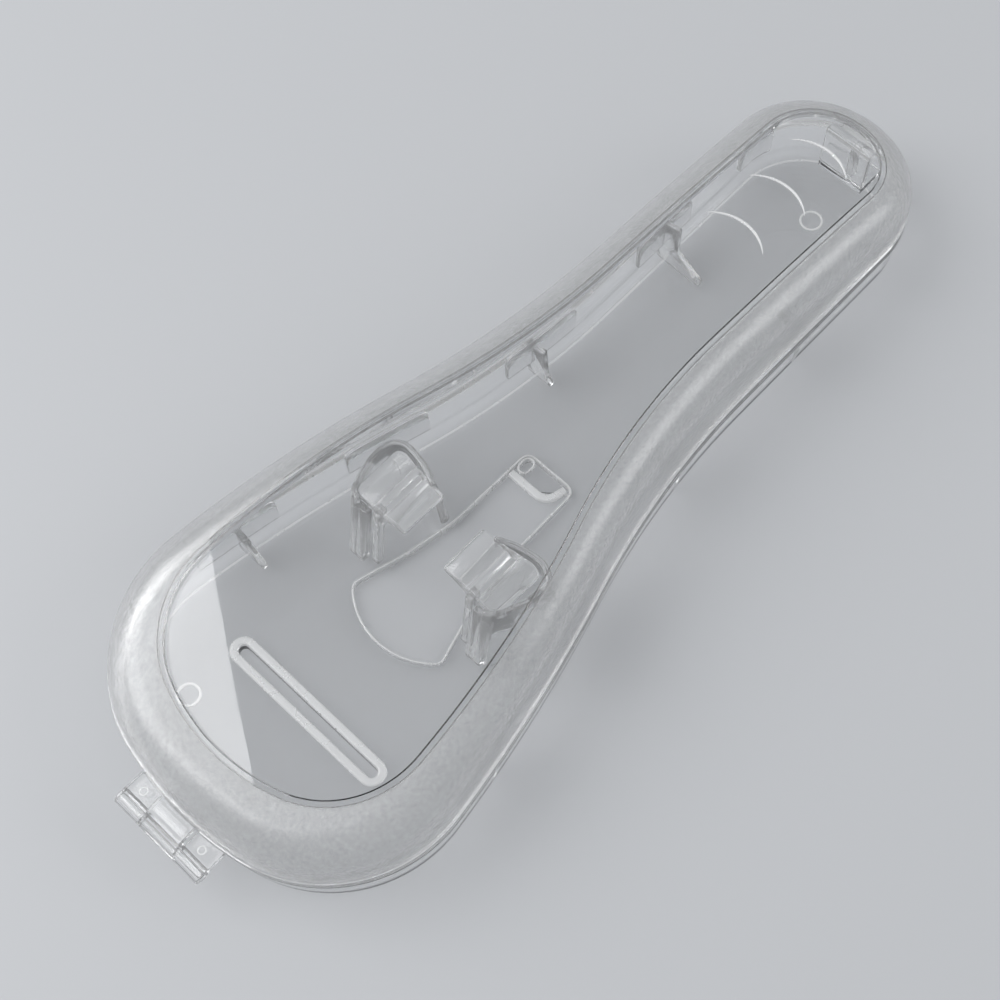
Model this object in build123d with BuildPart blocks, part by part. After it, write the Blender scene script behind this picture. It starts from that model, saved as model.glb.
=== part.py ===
from build123d import *
import os
from math import radians, sqrt, tan

# Razor travel case, in millimetres. +X runs from the hinge to the latch, +Z is
# up, and the origin is under the middle of the case's overall length.

# Overall sizes
CASE_LENGTH = 175.0
HINGE_REACH = 5.7
LIP_REACH = 2.0
PARTING_Z = 10.5
PARTING_GAP = 0.2
CROWN_Z = 27.6
CROWN_RADIUS = 466.0
CROWN_X = 2.7

# Outline from the blunt end to the handle: (radius, turn in degrees) of each arc
RIM_TURNS = ((62.0, 12.0), (25.9, 85.3), (285.0, 8.9), (158.8, -16.2))
WINDOW_TURNS = ((37.7, 19.2), (17.8, 73.8), (182.0, 14.0), (137.0, -17.0))
RIM_ENDS = (-CASE_LENGTH / 2, CASE_LENGTH / 2)
WINDOW_ENDS = (-76.6, 80.5)

# Walls
LIP_OUT = 0.5
LIP_HEIGHT = 1.3
BASE_WALL = 1.5
BASE_FLOOR = 1.5
BASE_DRAFT = 1.5
BASE_ROUND = 2.5
FLOOR_ROUND = 2.0
LID_WALL = 1.3
LID_TOP = 1.6
LID_DRAFT = 3.0
LID_ROUND = 6.8
LID_RIM_Z = 12.6
BORDER_WIDTH = 1.0
BORDER_RISE = 0.3

# Hinge
HINGE_X = -91.7
HINGE_Z = 9.0
KNUCKLE_R = 1.5
PIN_R = 0.6
PIN_GAP = 0.05
HINGE_WIDTH = 19.5
MIDDLE_WIDTH = 7.8
KNUCKLE_GAP = 0.2

# Latch
LATCH_X = 79.0
LATCH_PIVOT_Z = 8.6
LATCH_THICK = 1.2
LATCH_WIDTH = 10.0
LATCH_TOP_Z = 18.0
HOOK_X = 81.2
CATCH_X = 81.35

# Features on the floor
SLOT_X = -60.6
FIN_THICK = 1.2
TONGUE_THICK = 1.2
TONGUE_TOP_Z = 13.2
TONGUE_FOOT_Z = 6.0
CLIP_TOP_Z = 20.0
NOSE_Y = 4.2
TIP_HOLE = (-2.3, 4.2)

# The middle of the case's body stands off the origin, so that the overall
# length, with the hinge and the thumb lip, is centred.
BODY_X = (HINGE_REACH - LIP_REACH) / 2
FAR = 40.0


def level(z):
    """Horizontal plane at height z, centred on the case's body."""
    return Plane((BODY_X, 0, z))


def upright(y):
    """Plane along the case at side distance y: sketch x is along, sketch y is up."""
    return Plane(origin=(BODY_X, y, 0), x_dir=(1, 0, 0), z_dir=(0, -1, 0))


def across(x):
    """Plane across the case at length x: sketch x is +Y, sketch y is up."""
    return Plane(origin=(BODY_X + x, 0, 0), x_dir=(0, 1, 0), z_dir=(1, 0, 0))


def outline(turns, ends, inset=0.0):
    """Closed outline of tangent arcs with a straight handle and a round tip.

    An inset moves every arc inward exactly: outward curves lose radius and
    the hollow neck curve gains it.
    """
    with BuildSketch() as face:
        with BuildLine():
            start = (ends[0] + inset, 0)
            heading = (0, -1)
            for radius, turn in turns:
                side = 1 if turn > 0 else -1
                arc = JernArc(start, heading, radius - side * inset, turn)
                start, heading = arc @ 1, arc % 1
            half_width = -(arc @ 1).Y
            tip_x = ends[1] - inset
            handle = Line(arc @ 1, (tip_x - half_width, -half_width))
            JernArc(handle @ 1, (1, 0), half_width, 90)
            mirror(about=Plane.XZ)
        make_face()
    return face.sketch


def window_prism(grow=0.0):
    """Tall block over the window's outline, grown sideways."""
    with BuildPart() as block:
        with BuildSketch(level(0)):
            add(outline(WINDOW_TURNS, WINDOW_ENDS, -grow))
        extrude(amount=FAR)
    return block.part


def crown_block(rise=0.0):
    """Everything under the lid's lengthwise arch, raised by a given amount."""
    radius = CROWN_RADIUS + rise
    drop = radius - sqrt(radius**2 - 100.0**2)
    with BuildPart() as block:
        with BuildSketch(upright(0)):
            with BuildLine():
                top = CROWN_Z + rise
                left = (CROWN_X - 100.0, top - drop)
                right = (CROWN_X + 100.0, top - drop)
                ThreePointArc(left, (CROWN_X, top), right)
                Polyline(right, (CROWN_X + 100.0, 0), (CROWN_X - 100.0, 0), left)
            make_face()
        extrude(amount=FAR, both=True)
    return block.part


def lid_mass(inset, rise, rounding):
    """Solid lid: drafted walls, arched top and a round top edge."""
    with BuildPart() as mass:
        with BuildSketch(level(PARTING_Z + PARTING_GAP)):
            add(outline(RIM_TURNS, RIM_ENDS, inset))
        extrude(amount=CROWN_Z, taper=LID_DRAFT)
        add(crown_block(rise), mode=Mode.INTERSECT)
        fillet(mass.faces().sort_by(Axis.Z)[-1].edges(), radius=rounding)
    return mass.part


def base_mass(inset, floor_z, rounding):
    """Solid base: walls that open upward a little and a round bottom edge."""
    with BuildPart() as mass:
        with BuildSketch(level(floor_z)):
            add(outline(RIM_TURNS, RIM_ENDS, inset))
        extrude(amount=PARTING_Z - floor_z, taper=-BASE_DRAFT)
        fillet(mass.faces().sort_by(Axis.Z)[0].edges(), radius=rounding)
    return mass.part


def slab(z0, z1):
    """Wide flat block between two heights."""
    with BuildPart() as block:
        with BuildSketch(level(z0)):
            Rectangle(4 * FAR + CASE_LENGTH, 2 * FAR)
        extrude(amount=z1 - z0)
    return block.part


def between(x0, x1, y0, y1, z0, z1):
    """Block between two corners, in the body's own lengthwise measure."""
    with BuildPart() as block:
        with BuildSketch(level(z0)):
            with Locations(((x0 + x1) / 2, (y0 + y1) / 2)):
                Rectangle(x1 - x0, y1 - y0)
        extrude(amount=z1 - z0)
    return block.part


pieces = {}


def keep(name, part):
    """Label a finished piece and put it on the list to be written."""
    part.label = name
    pieces[name] = part


# Base tray: floor, walls, cross slot and fan-shaped cut-out
DRAFT_IN = PARTING_Z * tan(radians(BASE_DRAFT))


def cutout_face(grow=0.0):
    """Fan-shaped cut-out: narrow at the neck's far end, two lobes at the wide end."""
    with BuildSketch() as face:
        with BuildLine():
            side = Polyline((-0.7, -5.4), (-0.7, 5.4), (-19.0, 5.7), (-28.8, 7.5), (-39.3, 10.5))
            back = ThreePointArc(side @ 1, (-43.8, 0), (-39.3, -10.5))
            Polyline(back @ 1, (-28.8, -7.5), (-19.0, -5.7), side @ 0)
        make_face()
        fillet(face.vertices().group_by(Axis.X)[-1], radius=1.5)
        fillet(face.vertices().group_by(Axis.X)[0], radius=2.4)
        if grow:
            offset(amount=grow)
    return face.sketch


with BuildPart() as base_tray:
    add(base_mass(LIP_OUT + DRAFT_IN, 0, BASE_ROUND))
    add(base_mass(LIP_OUT + BASE_WALL + DRAFT_IN, BASE_FLOOR, FLOOR_ROUND), mode=Mode.SUBTRACT)
    with BuildSketch(level(0)):
        with Locations((SLOT_X, 0)):
            SlotOverall(33.0, 2.0, rotation=90)
        add(cutout_face())
    extrude(amount=BASE_FLOOR, mode=Mode.SUBTRACT)

tray_walls = base_tray.part
inner_hollow = base_mass(LIP_OUT + BASE_WALL + DRAFT_IN, BASE_FLOOR, FLOOR_ROUND)
FLOOR_EDGE = LIP_OUT + BASE_WALL + DRAFT_IN + FLOOR_ROUND + 0.05

with BuildPart() as floor_plug:
    with BuildSketch(level(0)):
        add(outline(RIM_TURNS, RIM_ENDS, FLOOR_EDGE))
    extrude(amount=BASE_FLOOR)

with BuildPart() as base_floor:
    add(tray_walls)
    add(floor_plug.part, mode=Mode.INTERSECT)
keep("base_floor", base_floor.part)

with BuildPart() as base_wall:
    add(tray_walls)
    add(floor_plug.part, mode=Mode.SUBTRACT)
keep("base_wall", base_wall.part)

# Outer lip round the base's top edge
with BuildPart() as base_lip:
    with BuildSketch(level(PARTING_Z - LIP_HEIGHT)):
        add(outline(RIM_TURNS, RIM_ENDS))
        add(outline(RIM_TURNS, RIM_ENDS, 2 * LIP_OUT), mode=Mode.SUBTRACT)
    extrude(amount=LIP_HEIGHT)
    add(tray_walls, mode=Mode.SUBTRACT)
    add(slab(0, PARTING_Z - LIP_HEIGHT), mode=Mode.SUBTRACT)
keep("base_lip", Part() + base_lip.part.solids().sort_by(SortBy.VOLUME)[-1])

# Raised rims on the floor
with BuildPart() as slot_rim:
    with BuildSketch(level(BASE_FLOOR)):
        with Locations((SLOT_X, 0)):
            SlotOverall(36.0, 5.0, rotation=90)
            SlotOverall(33.0, 2.0, rotation=90, mode=Mode.SUBTRACT)
    extrude(amount=0.9)
    rim_top = slot_rim.faces().sort_by(Axis.Z)[-1]
    chamfer(rim_top.outer_wire().edges(), length=0.5)
keep("slot_rim", slot_rim.part)

with BuildPart() as cutout_rim:
    with BuildSketch(level(BASE_FLOOR)):
        add(cutout_face(0.5))
        add(cutout_face(), mode=Mode.SUBTRACT)
    extrude(amount=0.4)
keep("cutout_rim", cutout_rim.part)

# Thin plate that closes the cut-out's tip, with a hanging hole and its rim
with BuildPart() as tip_plate:
    with BuildSketch(level(0.2)):
        Rectangle(9.2, 12.0)
        add(cutout_face(), mode=Mode.INTERSECT)
        with Locations(TIP_HOLE):
            SlotOverall(3.2, 1.9, mode=Mode.SUBTRACT)
    extrude(amount=0.6)
keep("tip_plate", tip_plate.part)

with BuildPart() as tip_hole_rim:
    with BuildSketch(level(0.8)):
        with Locations(TIP_HOLE):
            SlotOverall(3.9, 2.6)
            SlotOverall(3.2, 1.9, mode=Mode.SUBTRACT)
        add(cutout_face(), mode=Mode.INTERSECT)
    extrude(amount=BASE_FLOOR - 0.8)
keep("tip_hole_rim", tip_hole_rim.part)

# Cross band along the plate's edge, curling into the cut-out's near corner
with BuildPart() as cross_band:
    with BuildSketch(level(0.2)):
        with BuildLine():
            run = Line((-5.1, 6.5), (-5.1, -0.8))
            curl = TangentArc(run @ 1, (-3.0, -3.5), tangent=(0, -1))
            Line(curl @ 1, (0.6, -4.4))
        trace(line_width=1.8)
        add(cutout_face(), mode=Mode.INTERSECT)
    extrude(amount=BASE_FLOOR - 0.2)
    add(tip_plate.part, mode=Mode.SUBTRACT)
    add(tip_hole_rim.part, mode=Mode.SUBTRACT)
keep("cross_band", cross_band.part)

# Round marks on the floor
for name, x, y, radius in (("round_mark_narrow", 70.9, -0.5, 2.2), ("round_mark_wide", -72.3, 16.7, 2.15)):
    with BuildPart() as mark:
        with BuildSketch(level(BASE_FLOOR)):
            with Locations((x, y)):
                Circle(radius)
                Circle(radius - 0.4, mode=Mode.SUBTRACT)
        extrude(amount=0.25)
    keep(name, mark.part)

# Alignment tongues inside the base's wall, standing up into the lid
TONGUES = ((-56.0, -39.5), (-25.5, -9.5), (6.5, 22.5), (39.0, 53.5), (67.5, 76.5))
tongue_inset = LIP_OUT + BASE_WALL


def tongue(x0, x1, sign):
    """Curved strip just inside the wall between two lengthwise stations."""
    with BuildPart() as strip:
        with BuildSketch(level(TONGUE_FOOT_Z)):
            add(outline(RIM_TURNS, RIM_ENDS, tongue_inset))
            add(outline(RIM_TURNS, RIM_ENDS, tongue_inset + TONGUE_THICK), mode=Mode.SUBTRACT)
            with Locations(((x0 + x1) / 2, sign * FAR / 2)):
                Rectangle(x1 - x0, FAR, mode=Mode.INTERSECT)
        extrude(amount=TONGUE_TOP_Z - TONGUE_FOOT_Z)
        corners = strip.edges().filter_by(GeomType.LINE).filter_by_position(
            Axis.Z, TONGUE_TOP_Z - 0.01, TONGUE_TOP_Z + 0.01
        )
        ends = corners.sort_by(Axis.X)
        fillet([ends[0], ends[-1]], radius=2.0)
        add(tray_walls, mode=Mode.SUBTRACT)
    return strip.part


for number, (x0, x1) in enumerate(TONGUES, 1):
    for side, sign in (("left", 1), ("right", -1)):
        keep(f"tongue_{side}_{number}", tongue(x0, x1, sign))

# Support fins across the case, each standing against one tongue: the tongue's
# number, the lengthwise place and the profile from the wall's foot to the toe
FINS = {
    "wide": (1, -47.5, ((31.5, 1.5), (31.5, 9.8), (29.6, 9.8), (26.0, 6.2), (24.4, 3.0), (23.6, 1.5))),
    "neck": (3, 12.3, ((18.5, 1.5), (18.5, 10.4), (16.9, 10.8), (13.2, 12.2), (12.7, 4.0), (11.4, 1.5))),
    "handle": (4, 46.2, (
        (17.5, 1.5), (17.5, 10.4), (15.6, 13.2), (11.5, 14.2), (11.5, 6.7), (5.6, 3.0), (5.6, 1.5),
    )),
}
for name, (number, x, profile) in FINS.items():
    for side, sign in (("left", 1), ("right", -1)):
        with BuildPart() as fin:
            with BuildSketch(across(x)):
                Polygon(*[(sign * y, z) for y, z in profile], align=None)
            extrude(amount=FIN_THICK / 2, both=True)
            add(tray_walls, mode=Mode.SUBTRACT)
            add(pieces[f"tongue_{side}_{number}"], mode=Mode.SUBTRACT)
        keep(f"fin_{name}_{side}", Part() + fin.part.solids().sort_by(SortBy.VOLUME)[-1])

# Neck clips: arched wall, leaning leg and snap block on each side of the neck
CLIP_WALL = 1.2


def clip_wall(sign):
    """Thin wall, arched in plan, round the outside of the snap block."""
    with BuildPart() as wall:
        with BuildSketch(level(BASE_FLOOR)):
            with BuildLine():
                hinge_side = Line((-30.4, 4.0), (-30.4, 15.0))
                arch = ThreePointArc(hinge_side @ 1, (-25.0, 18.7), (-19.8, 15.0))
                Polyline(arch @ 1, (-19.4, 11.5), (-21.2, 4.0), hinge_side @ 0)
            make_face()
            offset(amount=-CLIP_WALL, mode=Mode.SUBTRACT)
            with Locations((-30.0, 7.0)):
                Rectangle(2.6, 19.6, mode=Mode.SUBTRACT)
            with Locations((-24.0, 3.9)):
                Rectangle(16.0, 7.8, mode=Mode.SUBTRACT)
            if sign < 0:
                mirror(about=Plane.XZ, mode=Mode.REPLACE)
        extrude(amount=CLIP_TOP_Z - BASE_FLOOR)
        with BuildSketch(upright(0)):
            Polygon((-27.8, 1.0), (-21.8, 1.0), (-21.8, 10.0), (-24.8, 13.6), (-27.8, 10.0), align=None)
        extrude(amount=-sign * FAR, mode=Mode.SUBTRACT)
    return wall.part


def clip_leg(sign, y, half_width, foot_x):
    """Leaning leg on the hinge side, from the floor up to the block's edge."""
    with BuildPart() as leg:
        with BuildSketch(upright(sign * y)):
            Polygon((foot_x, 1.5), (foot_x + 1.6, 1.5), (-30.2, 20.0), (-31.8, 20.0), align=None)
        extrude(amount=half_width, both=True)
        add(clip_wall(sign), mode=Mode.SUBTRACT)
    return leg.part


def snap_block(sign, legs):
    """Hook that holds the razor's neck: a thin roof, a nose and a hollow underside."""
    with BuildPart() as block:
        with BuildSketch(across(-31.0)):
            with BuildLine():
                back = Polyline((11.6, 13.4), (11.6, 18.4), (17.2, 18.4), (17.2, CLIP_TOP_Z))
                roof = Line(back @ 1, (6.4, CLIP_TOP_Z))
                nose = Polyline(roof @ 1, (NOSE_Y, CLIP_TOP_Z - 0.4), (NOSE_Y + 0.3, 18.4))
                hollow = ThreePointArc(nose @ 1, (8.6, 17.0), (10.2, 13.4))
                Line(hollow @ 1, back @ 0)
            make_face()
            if sign < 0:
                mirror(about=Plane.YZ, mode=Mode.REPLACE)
        extrude(amount=9.4)
        add(clip_wall(sign), mode=Mode.SUBTRACT)
        for leg in legs:
            add(leg, mode=Mode.SUBTRACT)
    return Part() + block.part.solids().sort_by(SortBy.VOLUME)[-1]


for side, sign in (("left", 1), ("right", -1)):
    wide_leg = clip_leg(sign, 14.0, 1.8, -35.4)
    narrow_leg = clip_leg(sign, 10.9, 0.7, -34.0)
    keep(f"clip_wall_{side}", clip_wall(sign))
    keep(f"clip_leg_wide_{side}", wide_leg)
    keep(f"clip_leg_narrow_{side}", narrow_leg)
    keep(f"snap_block_{side}", snap_block(sign, (wide_leg, narrow_leg)))

# Latch shelf on the base's end wall, and the tongue that bends on it
with BuildPart() as latch_shelf:
    add(between(LATCH_X - 0.6, FAR * 2.2, -LATCH_WIDTH / 2, LATCH_WIDTH / 2, 6.6, LATCH_PIVOT_Z - 0.65))
    add(inner_hollow, mode=Mode.INTERSECT)
keep("latch_shelf", latch_shelf.part)

with BuildPart() as latch_tongue:
    with BuildSketch(upright(0)):
        half = LATCH_THICK / 2
        with Locations((LATCH_X, LATCH_PIVOT_Z)):
            Circle(half)
        with BuildLine():
            Polyline(
                (LATCH_X - half, LATCH_PIVOT_Z),
                (LATCH_X - half, LATCH_TOP_Z),
                (LATCH_X + half, LATCH_TOP_Z),
                (HOOK_X, LATCH_TOP_Z - 1.2),
                (HOOK_X, LATCH_TOP_Z - 1.8),
                (LATCH_X + half, LATCH_TOP_Z - 1.8),
                (LATCH_X + half, LATCH_PIVOT_Z),
                close=True,
            )
        make_face()
    extrude(amount=LATCH_WIDTH / 2, both=True)
    fillet(latch_tongue.edges().filter_by(Axis.X).group_by(Axis.Z)[-1], radius=0.5)
keep("latch_tongue", latch_tongue.part)

with BuildPart() as latch_gusset:
    with BuildSketch(upright(-1.3)):
        foot_z = LATCH_PIVOT_Z
        foot_x = LATCH_X + LATCH_THICK / 2
        top_z = foot_z + 7.4
        Polygon((foot_x, foot_z), (foot_x + 1.6, foot_z), (foot_x + 0.7, top_z), (foot_x, top_z), align=None)
    extrude(amount=0.7, both=True)
keep("latch_gusset", latch_gusset.part)

# Lid shell, then cut into window, border, band and rim
lid_outer = lid_mass(0, 0, LID_ROUND)
lid_inner = lid_mass(LID_WALL, -LID_TOP, LID_ROUND - LID_WALL)

with BuildPart() as lid_window:
    add(lid_outer)
    add(lid_inner, mode=Mode.SUBTRACT)
    add(window_prism(), mode=Mode.INTERSECT)
keep("lid_window", lid_window.part)

with BuildPart() as lid_border:
    add(lid_mass(0, BORDER_RISE, LID_ROUND))
    add(lid_inner, mode=Mode.SUBTRACT)
    add(window_prism(BORDER_WIDTH), mode=Mode.INTERSECT)
    add(window_prism(), mode=Mode.SUBTRACT)
keep("lid_border", lid_border.part)

with BuildPart() as lid_side:
    add(lid_outer)
    add(lid_inner, mode=Mode.SUBTRACT)
    add(window_prism(BORDER_WIDTH), mode=Mode.SUBTRACT)

with BuildPart() as lid_band:
    add(lid_side.part)
    add(slab(0, LID_RIM_Z), mode=Mode.SUBTRACT)
keep("lid_band", lid_band.part)

with BuildPart() as lid_rim:
    add(lid_side.part)
    add(slab(0, LID_RIM_Z), mode=Mode.INTERSECT)
keep("lid_rim", lid_rim.part)

# Thumb ridges on the window near the latch: crescents between two circles
for number, x in enumerate((48.3, 59.8, 71.5), 1):
    with BuildPart() as ridge:
        with BuildSketch(level(15.0)):
            with Locations((x - 7.8, 0.3)):
                Circle(8.9)
            with Locations((x - 10.5, 0.3)):
                Circle(10.9, mode=Mode.SUBTRACT)
        extrude(amount=FAR)
        add(crown_block(0.4), mode=Mode.INTERSECT)
        add(crown_block(), mode=Mode.SUBTRACT)
    keep(f"thumb_ridge_{number}", ridge.part)

# Thumb lip under the tip, and the catch that the latch's hook holds
with BuildPart() as thumb_lip:
    with BuildSketch(level(PARTING_Z + PARTING_GAP)):
        add(outline(RIM_TURNS, RIM_ENDS, -LIP_REACH))
        with Locations((CASE_LENGTH / 2, 0)):
            Rectangle(10.0, 4.0, mode=Mode.INTERSECT)
        add(outline(RIM_TURNS, RIM_ENDS, LID_WALL / 2), mode=Mode.SUBTRACT)
    extrude(amount=1.3)
    fillet(thumb_lip.edges().filter_by(Axis.Z).group_by(Axis.X)[0:1][0], radius=0.3)
    add(lid_outer, mode=Mode.SUBTRACT)
keep("thumb_lip", thumb_lip.part)

with BuildPart() as lid_catch:
    add(between(CATCH_X, FAR * 2.2, -4.0, 4.0, 14.6, LATCH_TOP_Z - 2.0))
    add(lid_inner, mode=Mode.INTERSECT)
keep("lid_catch", lid_catch.part)

# Hinge: two outer knuckles on flat lugs, the middle knuckle on a curved strap, a pin
LUG_IN_X = RIM_ENDS[0] + LIP_OUT + 0.6
for side, sign in (("left", 1), ("right", -1)):
    outer_width = (HINGE_WIDTH - MIDDLE_WIDTH) / 2 - KNUCKLE_GAP
    near_y = sign * (HINGE_WIDTH / 2 - outer_width / 2)
    with BuildPart() as lug:
        with BuildSketch(upright(near_y)):
            with Locations((HINGE_X, HINGE_Z)):
                Circle(KNUCKLE_R)
            lug_length = LUG_IN_X - HINGE_X
            with Locations((HINGE_X + lug_length / 2, HINGE_Z + KNUCKLE_R - 1.0)):
                Rectangle(lug_length, 2.0)
            with Locations((HINGE_X, HINGE_Z)):
                Circle(PIN_R + PIN_GAP, mode=Mode.SUBTRACT)
        extrude(amount=outer_width / 2, both=True)
        with BuildSketch(level(PARTING_Z)):
            with Locations((-88.9, near_y)):
                Circle(0.8)
                Circle(0.5, mode=Mode.SUBTRACT)
        extrude(amount=-0.2, mode=Mode.SUBTRACT)
        add(tray_walls, mode=Mode.SUBTRACT)
        add(base_lip.part, mode=Mode.SUBTRACT)
    keep(f"hinge_lug_{side}", Part() + lug.part.solids().sort_by(SortBy.VOLUME)[-1])

with BuildPart() as hinge_strap:
    with BuildSketch(upright(0)):
        with BuildLine():
            top = Line((-86.9, 12.6), (-87.6, 12.6))
            outside = TangentArc(top @ 1, (HINGE_X - KNUCKLE_R, HINGE_Z), tangent=(-1, -0.05))
            Line(outside @ 1, (HINGE_X, HINGE_Z))
            inside = ThreePointArc((HINGE_X, HINGE_Z + 0.2), (-89.9, 10.5), (-87.8, 10.9))
            Polyline(inside @ 1, (-86.9, 10.9), top @ 0)
            Line((HINGE_X, HINGE_Z), inside @ 0)
        make_face()
        with Locations((HINGE_X, HINGE_Z)):
            Circle(KNUCKLE_R)
            Circle(PIN_R + PIN_GAP, mode=Mode.SUBTRACT)
    extrude(amount=MIDDLE_WIDTH / 2, both=True)
    add(lid_outer, mode=Mode.SUBTRACT)
keep("hinge_strap", hinge_strap.part)

with BuildPart() as hinge_pin:
    with BuildSketch(upright(0)):
        with Locations((HINGE_X, HINGE_Z)):
            Circle(PIN_R)
    extrude(amount=HINGE_WIDTH / 2 - 0.2, both=True)
keep("hinge_pin", hinge_pin.part)

os.makedirs("parts", exist_ok=True)
for name, part in pieces.items():
    export_step(part, f"parts/{name}.step")
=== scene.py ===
# %% [markdown]
# This lesson builds a clear travel case for a razor: a shallow base, a domed
# lid that is hinged at the wide end, and a springy latch at the narrow end. The
# imported solids are loaded first and never moved, because the joints belong to
# them. Each is then replaced by a piece with rounded edges, worked out with
# numpy. The box round the solids is kept, to set the floor just below it.

# %% Load the frame
import math
import bmesh
import bpy
import numpy as np
from mathutils import Matrix, Vector
from mathutils.geometry import delaunay_2d_cdt


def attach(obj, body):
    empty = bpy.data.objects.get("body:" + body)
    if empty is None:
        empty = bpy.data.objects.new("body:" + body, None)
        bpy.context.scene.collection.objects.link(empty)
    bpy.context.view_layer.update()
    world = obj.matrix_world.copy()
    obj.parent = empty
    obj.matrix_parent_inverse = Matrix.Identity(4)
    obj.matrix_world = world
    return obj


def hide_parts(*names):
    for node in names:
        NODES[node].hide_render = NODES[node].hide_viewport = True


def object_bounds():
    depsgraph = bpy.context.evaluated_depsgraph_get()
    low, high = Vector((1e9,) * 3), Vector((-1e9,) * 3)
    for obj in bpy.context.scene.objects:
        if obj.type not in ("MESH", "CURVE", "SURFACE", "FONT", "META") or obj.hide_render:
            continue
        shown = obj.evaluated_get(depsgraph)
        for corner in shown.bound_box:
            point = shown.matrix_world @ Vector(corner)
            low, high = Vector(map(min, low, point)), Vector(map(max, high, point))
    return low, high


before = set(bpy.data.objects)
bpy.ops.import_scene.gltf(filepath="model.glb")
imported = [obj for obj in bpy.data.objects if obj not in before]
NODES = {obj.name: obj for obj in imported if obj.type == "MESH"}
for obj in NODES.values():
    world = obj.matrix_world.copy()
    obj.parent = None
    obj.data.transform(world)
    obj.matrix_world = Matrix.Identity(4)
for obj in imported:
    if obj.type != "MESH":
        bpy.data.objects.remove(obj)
CAD_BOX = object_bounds()
MM = 0.001
print("nodes", len(NODES), "box", [[round(v, 4) for v in c] for c in CAD_BOX])

# %% [markdown]
# The camera stands where the photographer's did: 66 degrees above the table,
# on the hinge side, with a long lens. A Track To constraint could aim it, but
# gives no roll. So its matrix is written out as three columns, which point
# right, up and back, and roll turns the first two about the third.

# %% Camera at the photograph's angle
CAMERA_AZIMUTH = math.radians(47.162)
CAMERA_HEIGHT = math.radians(66.15)
CAMERA_ROLL = math.radians(-3.952)
CAMERA_DISTANCE = 307.84 * MM
CAMERA_TARGET = Vector((-8.113, 3.613, 0.0)) * MM
FOCAL_PIXELS = 1733.08
IMAGE_PIXELS = 1000
SENSOR_WIDTH = 36.0


def aim_camera():
    """Camera from two angles, a roll and a distance to the point it looks at."""
    ahead = Vector((
        math.cos(CAMERA_HEIGHT) * math.cos(CAMERA_AZIMUTH),
        math.cos(CAMERA_HEIGHT) * math.sin(CAMERA_AZIMUTH),
        -math.sin(CAMERA_HEIGHT),
    ))
    level_right = Vector((math.sin(CAMERA_AZIMUTH), -math.cos(CAMERA_AZIMUTH), 0))
    level_up = level_right.cross(ahead)
    right = math.cos(CAMERA_ROLL) * level_right + math.sin(CAMERA_ROLL) * level_up
    up = -math.sin(CAMERA_ROLL) * level_right + math.cos(CAMERA_ROLL) * level_up
    turn = Matrix((right, up, -ahead)).transposed().to_4x4()
    data = bpy.data.cameras.new("camera")
    data.sensor_width = SENSOR_WIDTH
    data.lens = SENSOR_WIDTH * FOCAL_PIXELS / IMAGE_PIXELS
    data.clip_start = 10 * MM
    camera = bpy.data.objects.new("camera", data)
    camera.matrix_world = Matrix.Translation(CAMERA_TARGET - CAMERA_DISTANCE * ahead) @ turn
    bpy.context.scene.collection.objects.link(camera)
    bpy.context.scene.camera = camera
    return camera


camera = aim_camera()
print("camera at", [round(v, 4) for v in camera.location])

# %% [markdown]
# Seen from above, the case is one line: a wide round end, a hollow neck and a
# narrow round tip. It could be a Bezier curve, but its walls need many parallel
# lines. So it is drawn from arcs that touch without a corner, a straight handle
# and the round tip, and each point keeps its outward normal. Moving the points
# along their normals gives the outline of every wall.

# %% Outline of the case as points and outward normals
CASE_ENDS = (-87.5, 87.5)
CASE_TURNS = ((62.0, 12.0), (25.9, 85.3), (285.0, 8.9), (158.8, -16.2))
WINDOW_ENDS = (-76.6, 80.5)
WINDOW_TURNS = ((37.7, 19.2), (17.8, 73.8), (182.0, 14.0), (137.0, -17.0))
AROUND = 720
STEPS = 200


def arc_points(start, heading, radius, turn):
    """Points on an arc: the centre stands to the left (or right for a negative
    turn) of the start, and the heading turns evenly from first to last."""
    side = 1.0 if turn > 0 else -1.0
    angles = heading + np.radians(turn) * np.linspace(0, 1, STEPS)
    first = np.array([math.sin(heading), -math.cos(heading)]) * side
    centre = np.array(start) - first * radius
    out = np.stack([np.sin(angles), -np.cos(angles)], 1) * side
    return centre + radius * out, angles


def walk_along(line):
    """Length of a chain of points, from its start to each of them."""
    return np.concatenate([[0], np.cumsum(np.linalg.norm(np.diff(line, axis=0), axis=1))])


def case_outline(ends, turns, count=AROUND):
    """Closed outline, evenly spaced: half of it is walked with headings, then
    mirrored in the long axis. The outward normal is the heading turned right."""
    at, heading = (ends[0], 0.0), -math.pi / 2
    points, headings = [], []
    for radius, turn in turns:
        arc, angles = arc_points(at, heading, radius, turn)
        points.append(arc)
        headings.append(angles)
        at, heading = tuple(arc[-1]), angles[-1]
    half_width = -at[1]
    corner = (ends[1] - half_width, at[1])
    points.append(np.linspace(at, corner, STEPS))
    headings.append(np.zeros(STEPS))
    tip, angles = arc_points(corner, 0.0, half_width, 90.0)
    walk, turned = np.concatenate(points + [tip]), np.concatenate(headings + [angles])
    step = walk_along(walk)
    even = (np.arange(count // 2) + 0.5) / (count // 2) * step[-1]
    x, y, h = (np.interp(even, step, v) for v in (walk[:, 0], walk[:, 1], turned))
    near = np.stack([x, y, np.sin(h), -np.cos(h)], 1)
    far = near[::-1] * np.array([1, -1, 1, -1])
    both = np.concatenate([near, far])
    return both[:, :2], both[:, 2:]


RIM, RIM_OUT = case_outline(CASE_ENDS, CASE_TURNS)
WINDOW, WINDOW_OUT = case_outline(WINDOW_ENDS, WINDOW_TURNS)
print("outline", RIM.min(0).round(2), RIM.max(0).round(2), "points", len(RIM))

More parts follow.
